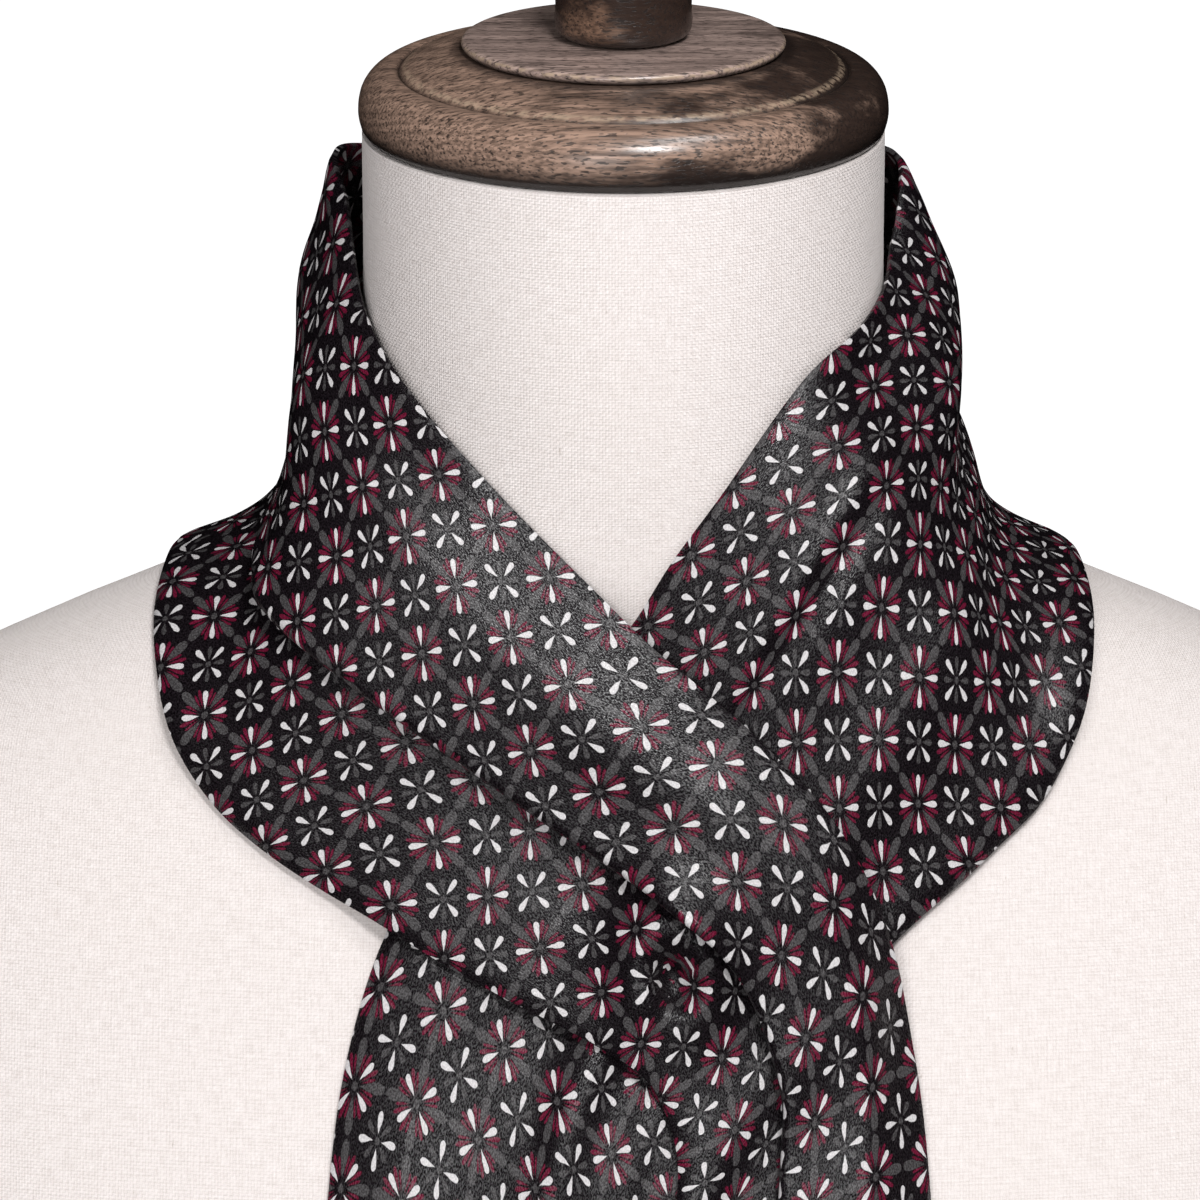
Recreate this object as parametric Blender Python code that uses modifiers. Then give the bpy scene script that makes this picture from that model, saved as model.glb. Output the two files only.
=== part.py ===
"""Silk scarf worn as a cravat on a limbless tailor's form with a turned wooden neck cap.

The scarf goes once round the back of the neck. Its wearer's-right stretch crosses on top of the
wearer's-left stretch below the throat, and both ends hang straight down the front.

Sizes are in millimetres from the pit of the neck: x to the wearer's left, y to the back, z up.
The mesh is written in metres, with the floor at z = 0 under the form's flat underside.
"""
import math
from collections import namedtuple

import bmesh
import bpy
import numpy as np
from mathutils import Vector
from mathutils.bvhtree import BVHTree

MM = 0.001
COLLECTION_NAME = "silk_scarf_on_form"
SHARP_ANGLE = math.radians(40.0)

# Form: a padded torso covered in linen
PIT_HEIGHT = 595.0
RING_POINTS = 44
NECK_TILT = math.radians(8.0)
TILT_STARTS_AT = 20.0
NECK_TOP = 128.0
NECK_CENTRE_Y = -12.0
ARMHOLE_X = 190.0
ARMHOLE_Z = -88.0
ARMHOLE_LEAN = math.radians(3.0)

Section = namedtuple("Section", "height half_width front back squareness")
FORM_SECTIONS = [
    Section(-595, 166, -102, 100, 2.6),
    Section(-540, 163, -101, 97, 2.5),
    Section(-470, 150, -96, 84, 2.4),
    Section(-400, 141, -93, 74, 2.3),
    Section(-330, 148, -98, 76, 2.3),
    Section(-250, 164, -108, 88, 2.4),
    Section(-180, 180, -110, 98, 2.4),
    Section(-140, 196, -102, 100, 2.3),
    Section(-100, 207, -90, 100, 2.2),
    Section(-60, 209, -76, 96, 2.1),
    Section(-25, 197, -66, 89, 2.0),
    Section(-10, 182, -62, 85, 2.0),
    Section(5, 155, -60, 80, 2.0),
    Section(20, 122, -60, 75, 2.0),
    Section(35, 85, -62, 70, 2.0),
    Section(45, 68, -63, 65, 2.0),
    Section(60, 59.5, -65, 58, 2.0),
    Section(90, 57.2, -68, 50, 2.0),
    Section(128, 57, -70, 46, 2.0),
]
LevelRun = namedtuple("LevelRun", "low high count")
FORM_LEVELS = [
    LevelRun(-595, -400, 7),
    LevelRun(-400, -140, 9),
    LevelRun(-140, -25, 7),
    LevelRun(-25, 60, 11),
    LevelRun(60, 128, 3),
]

# Neck cap: turned wood, as radius and height above the top of the neck
SEAT_GAP = 0.3
TURN_STEPS = 40
CAP_PROFILE = [
    (0, 17.7), (36.0, 17.7), (38.0, 17.2), (44.0, 15.5), (48.0, 13.3), (48.7, 12.6), (51.0, 13.2),
    (55.0, 11.6), (57.0, 8.9), (57.7, 4.0), (57.2, 0.6), (56.4, 0), (0, 0),
]
DISC_BOTTOM = 18.0
DISC_PROFILE = [(0, 2.2), (34.4, 2.2), (35.3, 1.6), (35.3, 0.5), (34.8, 0), (0, 0)]
KNOB_BOTTOM = 20.5
KNOB_PROFILE = [
    (0, 37.0), (7.0, 36.0), (12.2, 32.6), (15.2, 26.5), (15.6, 20.0), (15.0, 13.0), (14.8, 6.0),
    (15.0, 3.0), (14.2, 0.8), (12.4, 0), (0, 0),
]

# Scarf: silk folded lengthwise into a band of two layers
WALL = 1.6
CLEARANCE = 1.2
BAND_GAP = 0.6
LIFT_REACH = (1, 4)
EASE_ROUNDS = 12
LAYER_PITCH = 2.2
STRETCH_GAP = 0.5
NEAR_STEP = 11.0
HANGING_FROM = 400.0
HANGING_STEP = 21.0
BASE_LANES = 49
PLAIN_LANES = 19
PLEAT_TOP_LANES = 6
PLEAT_TURN = np.radians([50.0, 0.0, -50.0])
PLEAT_BOTTOM_LANES = 8
FRONT_OF_ALL = -400.0
OUTSIDE_REACH = 60.0

Station = namedtuple("Station", "edge belly bend turn hem")
BACK_OF_NECK = Station((0, 54, 113), (0, 60, 88), (0, 66, 62), (0, 76, 34), (0, 84, 4))
RIGHT_OF_NECK = [
    Station((-32, 45, 116), (-36, 52, 90), (-40, 58, 63), (-45, 65, 38), (-54, 78, 8)),
    Station((-54, 27, 121), (-59, 34, 92), (-62, 41, 64), (-73, 50, 37), (-92, 57, 18)),
    Station((-63.5, 11, 121.5), (-67.5, 15, 93), (-68, 17, 62), (-78, 21, 41), (-99, 26, 30)),
    Station((-60.3, -3, 112), (-67.5, -3, 87), (-67.5, -5, 58), (-77, -7, 41), (-102, -3, 30)),
    Station((-58.3, -14, 101), (-67, -15, 80), (-68, -20, 53), (-78, -26, 36), (-103, -30, 21)),
    Station((-55.5, -26, 91), (-66, -28, 71), (-68.5, -35, 46), (-80, -42, 25), (-100, -47, 5)),
    Station((-48.5, -41, 79.5), (-60.5, -43, 59), (-69, -48, 36), (-80, -50, 16), (-95, -52, -6)),
]
LEFT_OF_NECK = [
    Station((30, 45, 116), (35, 52, 90), (40, 58, 63), (45, 65, 38), (54, 78, 8)),
    Station((51, 29, 121), (59, 35, 92), (62, 42, 64), (73, 50, 37), (92, 57, 18)),
    Station((60.5, 12, 120), (69, 15, 94), (70.5, 17, 64), (80, 21, 41), (99, 26, 30)),
    Station((60, 1, 111.5), (71, 0, 89), (71.5, -5, 58), (80, -7, 41), (102, -3, 30)),
    Station((58, -8, 103), (71.5, -12, 79), (72, -20, 52), (80, -26, 36), (103, -30, 21)),
    Station((54, -22, 96), (69, -26, 73), (71, -35, 46), (81, -42, 25), (100, -47, 5)),
    Station((47, -36, 89), (60, -41, 65), (69, -48, 38), (81, -50, 16), (95, -52, -6)),
]

Chest = namedtuple("Chest", "edge_x edge_z hem_x hem_z bulge")
OVER_CHEST = [
    Chest(-41.5, 71.5, -88, -15, 3.0),
    Chest(-30.7, 60.2, -78, -23, 3.0),
    Chest(-17.9, 47.2, -65, -31, 2.0),
    Chest(-5.1, 34.9, -52, -38, 1.0),
    Chest(2.3, 28.2, -42, -44, 0.5),
    Chest(16.1, 15.2, -25, -53, 0),
    Chest(28.9, 2.1, -8, -61.5, 0),
    Chest(44, -16, 5, -70, 0),
    Chest(55, -36, 11, -84, 0),
    Chest(62, -62, 9, -104, 0),
    Chest(66, -96, 1, -130, 0),
    Chest(67, -140, -9, -165, 0),
    Chest(66, -190, -16, -205, 0),
    Chest(65, -260, -20, -265, 0),
    Chest(65, -390, -21, -390, 0),
    Chest(66, -511, -22, -508, 0),
]
UNDER_CHEST = [
    Chest(39, 81, 89, -15, 3.0),
    Chest(29.8, 69.3, 81, -22, 3.0),
    Chest(20.5, 55.9, 73, -29, 3.0),
    Chest(9.8, 41.3, 63, -37, 2.0),
    Chest(1.5, 27.4, 51, -48, 1.0),
    Chest(-12, 12, 38, -60, 0),
    Chest(-27, -4, 27, -72, 0),
    Chest(-41, -20, 19, -86, 0),
    Chest(-52, -40, 15, -102, 0),
    Chest(-60, -66, 14, -122, 0),
    Chest(-64, -98, 15, -145, 0),
    Chest(-66, -140, 17, -175, 0),
    Chest(-66, -190, 19, -210, 0),
    Chest(-66, -260, 20, -265, 0),
    Chest(-66, -390, 20, -390, 0),
    Chest(-68, -498, 21, -502, 0),
]

# Folds: distances run along the band from the centre of the back
SIDE_CUT = 112.0
Drape = namedtuple("Drape", "distance pleat_depth pleat_place fold_height")
OVER_DRAPE = [
    Drape(112, 6, 0.74, 0),
    Drape(155, 9, 0.66, 0),
    Drape(195, 15, 0.55, 0),
    Drape(250, 21, 0.52, 0),
    Drape(330, 20, 0.53, 0),
    Drape(420, 16, 0.50, 1.5),
    Drape(560, 13, 0.46, 4.5),
    Drape(820, 10, 0.44, 6.0),
]
UNDER_DRAPE = [
    Drape(112, 0, 0, 0),
    Drape(200, 0, 0, 1.5),
    Drape(300, 0, 0, 1.5),
    Drape(420, 0, 0, 3.0),
    Drape(560, 0, 0, 5.0),
    Drape(820, 0, 0, 6.5),
]
NECK_DRAPE = [
    Drape(-112, 0, 0, 0),
    Drape(0, 0, 0, 2.5),
    Drape(112, 0, 0, 0),
]
OVER_FOLDS = 2.0
UNDER_FOLDS = 2.5
NECK_FOLDS = 2.0

LINEN = (0.80, 0.77, 0.75)
WALNUT = (0.13, 0.075, 0.045)
SILK = (0.022, 0.020, 0.021)


def clear_scene():
    """Start from an empty scene."""
    for old in list(bpy.data.objects):
        bpy.data.objects.remove(old, do_unlink=True)


def material(name, colour, roughness, metallic=0.0):
    """A plain finish with the part's colour."""
    finish = bpy.data.materials.new(name)
    finish.use_nodes = True
    shader = finish.node_tree.nodes["Principled BSDF"]
    shader.inputs["Base Color"].default_value = (*colour, 1.0)
    shader.inputs["Roughness"].default_value = roughness
    shader.inputs["Metallic"].default_value = metallic
    return finish


def add_object(name, mesh, finish, collection):
    """Put a mesh in the part's collection, shaded smooth across soft bends."""
    mesh.materials.append(finish)
    mesh.shade_smooth()
    mesh.set_sharp_from_angle(angle=SHARP_ANGLE)
    piece = bpy.data.objects.new(name, mesh)
    collection.objects.link(piece)
    return piece


def smoothstep(value):
    """Ease from 0 to 1."""
    value = np.clip(value, 0.0, 1.0)
    return value * value * (3.0 - 2.0 * value)


def spline(knots, rows, at):
    """Smooth curve through rows of values, with slopes taken from the neighbouring rows."""
    knots = np.asarray(knots, float)
    rows = np.asarray(rows, float)
    at = np.asarray(at, float)
    slopes = np.gradient(rows, knots, axis=0)
    left = np.clip(np.searchsorted(knots, at) - 1, 0, len(knots) - 2)
    shape = (-1,) + (1,) * (rows.ndim - 1)
    gap = (knots[left + 1] - knots[left]).reshape(shape)
    part = (at - knots[left]).reshape(shape) / gap
    square = part * part
    cube = square * part
    start = (2 * cube - 3 * square + 1) * rows[left] + (cube - 2 * square + part) * gap * slopes[left]
    end = (3 * square - 2 * cube) * rows[left + 1] + (cube - square) * gap * slopes[left + 1]
    return start + end


def to_world(points):
    """Millimetres from the neck pit to metres above the floor."""
    return (np.asarray(points, float) + (0.0, 0.0, PIT_HEIGHT)) * MM


# Form

def form_ring(section):
    """One level of the form: a squared ellipse, tilted forward towards the top of the neck."""
    turn = np.linspace(0.0, 2 * math.pi, RING_POINTS, endpoint=False)
    power = 2.0 / section.squareness
    depth = (section.back - section.front) / 2
    middle = (section.back + section.front) / 2
    x = section.half_width * np.sign(np.cos(turn)) * np.abs(np.cos(turn)) ** power
    y = depth * np.sign(np.sin(turn)) * np.abs(np.sin(turn)) ** power
    share = np.clip((section.height - TILT_STARTS_AT) / (NECK_TOP - TILT_STARTS_AT), 0.0, 1.0)
    z = section.height + y * math.tan(NECK_TILT * share)
    return np.stack([x, y + middle, z], axis=1)


def form_levels():
    """Heights of the form's rings, closest where the shoulders turn into the neck."""
    heights = []
    for run in FORM_LEVELS:
        heights.extend(np.linspace(run.low, run.high, run.count, endpoint=False))
    heights.append(NECK_TOP)
    return np.array(heights)


def build_form_mesh():
    """The torso: a loft through its sections, with flat armholes cut off it."""
    table = np.array(FORM_SECTIONS, float)
    rows = spline(table[:, 0], table[:, 1:], form_levels())
    shape = bmesh.new()
    rings = []
    for height, row in zip(form_levels(), rows):
        ring = form_ring(Section(height, *row))
        rings.append([shape.verts.new(point) for point in to_world(ring)])
    for lower, upper in zip(rings, rings[1:]):
        for index in range(RING_POINTS):
            after = (index + 1) % RING_POINTS
            shape.faces.new((lower[index], lower[after], upper[after], upper[index]))
    shape.faces.new(reversed(rings[0]))
    shape.faces.new(rings[-1])
    for side in (-1, 1):
        cut_armhole(shape, side)
    bmesh.ops.recalc_face_normals(shape, faces=shape.faces)
    mesh = bpy.data.meshes.new("form_torso")
    shape.to_mesh(mesh)
    shape.free()
    return mesh


def cut_armhole(shape, side):
    """Cut one shoulder off flat and close the cut."""
    where = Vector(to_world((side * ARMHOLE_X, 0.0, ARMHOLE_Z)))
    facing = Vector((side * math.cos(ARMHOLE_LEAN), 0.0, math.sin(ARMHOLE_LEAN)))
    every = list(shape.verts) + list(shape.edges) + list(shape.faces)
    cut = bmesh.ops.bisect_plane(
        shape, geom=every, plane_co=where, plane_no=facing, clear_outer=True, dist=0.0001)
    rim = [item for item in cut["geom_cut"] if isinstance(item, bmesh.types.BMEdge)]
    bmesh.ops.holes_fill(shape, edges=rim, sides=0)


def surface_of(mesh):
    """The form as a tree that answers where its nearest point is, in millimetres from the pit."""
    points = [Vector(vert.co) / MM - Vector((0.0, 0.0, PIT_HEIGHT)) for vert in mesh.vertices]
    faces = [tuple(face.vertices) for face in mesh.polygons]
    return BVHTree.FromPolygons(points, faces)


# Neck cap

def turned(name, profile, bottom, finish, collection):
    """A turned piece: a profile spun round the neck's tilted axis by a Screw modifier."""
    mesh = bpy.data.meshes.new(name)
    points = [(radius * MM, 0.0, height * MM) for radius, height in profile]
    edges = [(index, index + 1) for index in range(len(points) - 1)]
    mesh.from_pydata(points, edges, [])
    piece = add_object(name, mesh, finish, collection)
    axis = Vector((0.0, -math.sin(NECK_TILT), math.cos(NECK_TILT)))
    foot = Vector(to_world((0.0, NECK_CENTRE_Y, NECK_TOP)))
    piece.location = foot + axis * (bottom * MM)
    piece.rotation_euler = (NECK_TILT, 0.0, 0.0)
    screw = piece.modifiers.new("turning", "SCREW")
    screw.steps = TURN_STEPS
    screw.render_steps = TURN_STEPS
    screw.use_merge_vertices = True
    screw.merge_threshold = 0.00001
    screw.use_smooth_shade = True
    return piece


# Scarf

def chest_station(row, form):
    """A station on the chest: its lanes lie on the form, or span it tautly where it is hollow."""
    shares = np.linspace(0.0, 1.0, len(Station._fields))
    x = row.edge_x + (row.hem_x - row.edge_x) * shares
    z = row.edge_z + (row.hem_z - row.edge_z) * shares
    ahead = Vector((0.0, 1.0, 0.0))
    hits = [form.ray_cast(Vector((px, FRONT_OF_ALL, pz)), ahead)[0].y for px, pz in zip(x, z)]
    laid = np.array(hits) - CLEARANCE - WALL / 2
    taut = laid[0] + (laid[-1] - laid[0]) * shares - row.bulge * np.sin(math.pi * shares)
    return np.stack([x, np.minimum(laid, taut), z], axis=1)


def band_stations(form):
    """All stations of the scarf, from the hem that crosses over to the hem that lies beneath."""
    over = [list(row) for row in RIGHT_OF_NECK] + [chest_station(row, form) for row in OVER_CHEST]
    under = [list(row) for row in LEFT_OF_NECK] + [chest_station(row, form) for row in UNDER_CHEST]
    stations = np.array(over[::-1] + [list(BACK_OF_NECK)] + under, float)
    steps = np.linalg.norm(np.diff(stations, axis=0), axis=2).mean(axis=1)
    distance = np.concatenate([[0.0], np.cumsum(steps)])
    return distance - distance[len(over)], stations


def base_grid(knots, stations, distances, form):
    """The surface that the band lies on, from neck edge to outer edge, clear of the form."""
    across = spline(knots, stations, distances)
    lanes = np.linspace(0.0, 1.0, BASE_LANES)
    grid = np.empty((len(distances), BASE_LANES, 3))
    for index, points in enumerate(across):
        chords = np.linalg.norm(np.diff(points, axis=0), axis=1)
        reach = np.concatenate([[0.0], np.cumsum(chords)])
        dense = spline(reach, points, lanes * reach[-1])
        grid[index] = even_steps(dense)
    for index in np.ndindex(grid.shape[:2]):
        nearest, normal = form.find_nearest(Vector(grid[index]))[:2]
        height = (Vector(grid[index]) - nearest).dot(normal)
        if height < CLEARANCE + WALL / 2:
            grid[index] = nearest + normal * (CLEARANCE + WALL / 2)
    return grid


def even_steps(points):
    """The same curve with its points at even distances."""
    reach = np.concatenate([[0.0], np.cumsum(np.linalg.norm(np.diff(points, axis=0), axis=1))])
    evenly = np.linspace(0.0, reach[-1], len(points))
    return np.stack([np.interp(evenly, reach, points[:, axis]) for axis in range(3)], axis=1)


def outward_normals(grid, form):
    """Unit normals of a grid, turned away from the form."""
    along = np.gradient(grid, axis=0)
    across = np.gradient(grid, axis=1)
    normals = np.cross(along, across)
    normals /= np.linalg.norm(normals, axis=2, keepdims=True)
    middle = (grid.shape[0] // 2, grid.shape[1] // 2)
    facing = form.find_nearest(Vector(grid[middle]))[1]
    return normals if Vector(normals[middle]).dot(facing) > 0 else -normals


def clear_of_band(grid, lower, form):
    """Lift a grid off the band that lies beneath it, and ease the lift out round its edges."""
    need = np.zeros(grid.shape[:2])
    away = np.zeros(grid.shape)
    for index in np.ndindex(need.shape):
        nearest, normal = form.find_nearest(Vector(grid[index]))[:2]
        away[index] = normal
        hit = lower.ray_cast(nearest + normal * OUTSIDE_REACH, -normal)[0]
        if hit is not None:
            top = (hit - nearest).dot(normal) + BAND_GAP + WALL / 2
            need[index] = max(0.0, top - (Vector(grid[index]) - nearest).dot(normal))
    margin = [(reach, reach) for reach in LIFT_REACH]
    windows = [2 * reach + 1 for reach in LIFT_REACH]
    around = np.lib.stride_tricks.sliding_window_view(np.pad(need, margin, mode="edge"), windows)
    need = around.max(axis=(2, 3))
    lift = need.copy()
    for _ in range(EASE_ROUNDS):
        ring = np.pad(lift, 1, mode="edge")
        blurred = (ring[:-2, 1:-1] + ring[2:, 1:-1] + ring[1:-1, :-2] + ring[1:-1, 2:]) / 4
        lift = np.maximum(need, blurred)
    return grid + away * lift[:, :, None]


def plain_lane(width):
    """A cross-section with no pleat: distances across the band, all at base height."""
    return np.linspace(0.0, width, PLAIN_LANES), np.zeros(PLAIN_LANES)


def pleated_lane(width, depth, place):
    """A cross-section with one pleat: distances across the base, and heights over it."""
    fold = place * width
    radius = LAYER_PITCH / 2
    stack = 2 * LAYER_PITCH
    top = np.linspace(0.0, fold, PLEAT_TOP_LANES)
    rise = stack * smoothstep(top / (fold - depth))
    outwards = radius * np.cos(PLEAT_TURN)
    upwards = radius * np.sin(PLEAT_TURN)
    middle = np.array([fold, fold - depth])
    bottom = np.linspace(fold - depth, width, PLEAT_BOTTOM_LANES)
    across = np.concatenate([top, fold + outwards, middle, fold - depth - outwards, bottom])
    height = np.concatenate([
        rise, stack - radius + upwards, np.full(len(middle), LAYER_PITCH), radius + upwards,
        np.zeros(len(bottom))])
    return across, height


def drape_stretch(distances, grid, drape, folds, form):
    """Lay the cloth over its base: one pleat where the table has a depth, and soft folds."""
    table = np.array(drape, float)
    rows = spline(table[:, 0], table[:, 1:], distances)
    normals = outward_normals(grid, form)
    sheet = []
    for index, (depth, place, fold_height) in enumerate(rows):
        reach = np.linalg.norm(np.diff(grid[index], axis=0), axis=1)
        reach = np.concatenate([[0.0], np.cumsum(reach)])
        width = reach[-1]
        if table[0, 1] > 0:
            across, height = pleated_lane(width, depth, place)
        else:
            across, height = plain_lane(width)
        wave = 0.5 - 0.5 * np.cos(2 * math.pi * folds * np.clip(across / width, 0.0, 1.0))
        height = height + fold_height * wave
        base = lane_values(reach, grid[index], across)
        normal = lane_values(reach, normals[index], across)
        sheet.append(base + normal * height[:, None])
    return np.array(sheet)


def lane_values(reach, values, across):
    """Values along a station's base curve at the given distances across it."""
    return np.stack([np.interp(across, reach, values[:, axis]) for axis in range(3)], axis=1)


def sheet_object(name, sheet, finish, collection):
    """An open sheet of cloth through its grid of points, given its wall by Solidify."""
    shape = bmesh.new()
    rows = [[shape.verts.new(point) for point in row] for row in to_world(sheet)]
    for lower, upper in zip(rows, rows[1:]):
        for index in range(len(lower) - 1):
            shape.faces.new((lower[index], lower[index + 1], upper[index + 1], upper[index]))
    mesh = bpy.data.meshes.new(name)
    shape.to_mesh(mesh)
    shape.free()
    piece = add_object(name, mesh, finish, collection)
    solid = piece.modifiers.new("wall", "SOLIDIFY")
    solid.thickness = WALL * MM
    solid.offset = 0.0
    solid.use_even_offset = True
    return piece


def solid_surface(piece):
    """The finished solid of a piece as a tree, in millimetres from the pit."""
    bpy.context.view_layer.update()
    ready = piece.evaluated_get(bpy.context.evaluated_depsgraph_get())
    mesh = ready.to_mesh()
    tree = surface_of(mesh)
    ready.to_mesh_clear()
    return tree


def steps_between(start, end, step):
    """Distances along the band at nearly even steps."""
    return np.linspace(start, end, int(round(abs(end - start) / step)) + 1)


def front_steps(start, end):
    """Distances along a front stretch: close over the shoulder and chest, wider where it hangs."""
    near = steps_between(start, HANGING_FROM, NEAR_STEP)
    hanging = steps_between(HANGING_FROM, end, HANGING_STEP)
    return np.concatenate([near, hanging[1:]])


def build_scarf(form, finish, collection):
    """The three stretches that show: round the neck, the one beneath, and the one on top."""
    knots, stations = band_stations(form)
    half_gap = STRETCH_GAP / 2

    def stretch(distances):
        return base_grid(knots, stations, distances, form)

    neck = steps_between(-SIDE_CUT + half_gap, SIDE_CUT - half_gap, NEAR_STEP)
    sheet = drape_stretch(neck, stretch(neck), NECK_DRAPE, NECK_FOLDS, form)
    sheet_object("scarf_neck", sheet, finish, collection)

    under = front_steps(SIDE_CUT + half_gap, knots[-1])
    sheet = drape_stretch(under, stretch(under), UNDER_DRAPE, UNDER_FOLDS, form)
    lower = solid_surface(sheet_object("scarf_under", sheet, finish, collection))

    over = front_steps(SIDE_CUT + half_gap, -knots[0])
    grid = clear_of_band(stretch(-over), lower, form)
    sheet = drape_stretch(over, grid, OVER_DRAPE, OVER_FOLDS, form)
    sheet_object("scarf_over", sheet, finish, collection)


def main():
    """Build the form, its cap and the scarf."""
    clear_scene()
    collection = bpy.data.collections.new(COLLECTION_NAME)
    bpy.context.scene.collection.children.link(collection)
    linen = material("linen_cover", LINEN, 0.9)
    form_mesh = build_form_mesh()
    add_object("form_torso", form_mesh, linen, collection)
    turned_pieces = [
        ("neck_cap", CAP_PROFILE, SEAT_GAP),
        ("cap_disc", DISC_PROFILE, DISC_BOTTOM + SEAT_GAP),
        ("cap_knob", KNOB_PROFILE, KNOB_BOTTOM + SEAT_GAP),
    ]
    for name, profile, bottom in turned_pieces:
        turned(name, profile, bottom, material(name + "_walnut", WALNUT, 0.35), collection)
    build_scarf(surface_of(form_mesh), material("printed_silk", SILK, 0.45), collection)


main()
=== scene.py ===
import math
from collections import namedtuple

import bmesh
import bpy
import numpy as np
from mathutils import Matrix, Vector, noise
from mathutils.bvhtree import BVHTree


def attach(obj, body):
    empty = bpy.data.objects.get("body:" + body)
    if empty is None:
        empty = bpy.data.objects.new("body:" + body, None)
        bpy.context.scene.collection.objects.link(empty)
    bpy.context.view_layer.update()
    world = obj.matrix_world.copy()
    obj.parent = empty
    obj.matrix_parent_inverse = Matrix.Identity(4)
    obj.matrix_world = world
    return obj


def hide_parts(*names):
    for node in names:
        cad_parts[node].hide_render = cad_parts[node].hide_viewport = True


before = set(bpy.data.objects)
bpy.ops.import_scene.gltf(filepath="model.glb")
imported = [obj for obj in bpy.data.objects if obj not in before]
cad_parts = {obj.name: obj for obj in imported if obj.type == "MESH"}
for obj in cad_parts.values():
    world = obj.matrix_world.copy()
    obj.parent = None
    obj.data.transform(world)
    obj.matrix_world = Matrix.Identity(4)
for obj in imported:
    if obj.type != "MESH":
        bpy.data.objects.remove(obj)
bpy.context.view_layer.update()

# Camera
# The view is a shop photograph's: from 1.6 metres in front of the throat, tipped ten degrees
# down, through a long lens that takes in 267 millimetres at the throat.
MM = 0.001
PIT_HEIGHT = 595.0
throat = Vector((-5.1, 0.0, PIT_HEIGHT + 21.5)) * MM
view_distance = 1.6
view_down = math.radians(10.0)
camera_data = bpy.data.cameras.new("shop_camera")
camera_data.sensor_width = 36.0
camera_data.lens = 216.0
camera_data.clip_end = 60.0
camera = bpy.data.objects.new("shop_camera", camera_data)
bpy.context.scene.collection.objects.link(camera)
looking = Vector((0.0, math.cos(view_down), -math.sin(view_down)))
camera.location = throat - looking * view_distance
camera.rotation_euler = (math.radians(90.0) - view_down, 0.0, 0.0)
bpy.context.scene.camera = camera

# Studio
# A wide sheet of white paper, brighter away from the part, under a strong softbox in front on the
# right, a wider one on the left and a small one above. A low panel in front is seen as sheen only.
bpy.context.scene.view_settings.view_transform = "Standard"


class Wiring:
    """Short hands for adding and joining nodes in one tree."""

    def __init__(self, tree):
        self.tree = tree

    def node(self, kind, **settings):
        """A new node with the given settings."""
        made = self.tree.nodes.new(kind)
        for key, value in settings.items():
            setattr(made, key, value)
        return made

    def feed(self, socket, source):
        """Give a socket a constant, or join it to the output of another node."""
        if isinstance(source, (int, float, tuple)):
            socket.default_value = source
        else:
            self.tree.links.new(source, socket)

    def math(self, operation, *sources):
        """One sum of up to three values."""
        made = self.node("ShaderNodeMath", operation=operation)
        for socket, source in zip(made.inputs, sources):
            self.feed(socket, source)
        return made.outputs[0]

    def ramp(self, value, low, high, to_low=0.0, to_high=1.0, smooth=True):
        """A value spread from one range over another, with soft ends or straight."""
        made = self.node("ShaderNodeMapRange", interpolation_type="SMOOTHSTEP" if smooth else "LINEAR")
        names = ("Value", "From Min", "From Max", "To Min", "To Max")
        for name, source in zip(names, (value, low, high, to_low, to_high)):
            self.feed(made.inputs[name], source)
        return made.outputs["Result"]

    def blend(self, amount, under, over):
        """One colour laid over another by an amount."""
        made = self.node("ShaderNodeMix", data_type="RGBA")
        self.feed(made.inputs["Factor"], amount)
        self.feed(made.inputs["A"], under)
        self.feed(made.inputs["B"], over)
        return made.outputs["Result"]

    def noise(self, vector, scale, detail=2.0, roughness=0.5):
        """Soft random values between 0 and 1."""
        made = self.node("ShaderNodeTexNoise")
        self.feed(made.inputs["Vector"], vector)
        made.inputs["Scale"].default_value = scale
        made.inputs["Detail"].default_value = detail
        made.inputs["Roughness"].default_value = roughness
        return made.outputs["Fac"]

    def stretched(self, vector, scale, turn=0.0):
        """Coordinates turned about their third axis and scaled along each."""
        made = self.node("ShaderNodeMapping")
        self.feed(made.inputs["Vector"], vector)
        made.inputs["Scale"].default_value = scale
        made.inputs["Rotation"].default_value = (0.0, 0.0, turn)
        return made.outputs["Vector"]

    def bump(self, shader, height, strength, distance):
        """Raise and sink the surface of a shader by a height."""
        made = self.node("ShaderNodeBump")
        made.inputs["Strength"].default_value = strength
        made.inputs["Distance"].default_value = distance
        self.feed(made.inputs["Height"], height)
        self.feed(shader.inputs["Normal"], made.outputs["Normal"])


def new_material(name):
    """A new material, with its wiring and its main shader."""
    made = bpy.data.materials.new(name)
    made.use_nodes = True
    return made, Wiring(made.node_tree), made.node_tree.nodes["Principled BSDF"]


paper, wire, paper_shader = new_material("white_paper")
paper_shader.inputs["Base Color"].default_value = (0.86, 0.86, 0.87, 1.0)
paper_shader.inputs["Roughness"].default_value = 0.9
paper_shader.inputs["Specular IOR Level"].default_value = 0.1
paper_shader.inputs["Emission Color"].default_value = (1.0, 1.0, 1.0, 1.0)
paper_reach = wire.node("ShaderNodeVectorMath", operation="LENGTH")
wire.feed(paper_reach.inputs[0], wire.node("ShaderNodeTexCoord").outputs["Object"])
paper_glow = wire.ramp(paper_reach.outputs["Value"], 0.8, 3.4, 0.03, 0.95)
paper_seen = wire.node("ShaderNodeLightPath").outputs["Is Camera Ray"]
wire.feed(paper_shader.inputs["Emission Strength"], wire.math("MULTIPLY", paper_glow, paper_seen))

floor_shape = bmesh.new()
bmesh.ops.create_grid(floor_shape, x_segments=4, y_segments=4, size=25.0)
floor_mesh = bpy.data.meshes.new("studio_floor")
floor_shape.to_mesh(floor_mesh)
floor_shape.free()
floor_mesh.materials.append(paper)
floor = bpy.data.objects.new("studio_floor", floor_mesh)
bpy.context.scene.collection.objects.link(floor)
floor.visible_glossy = False

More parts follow.
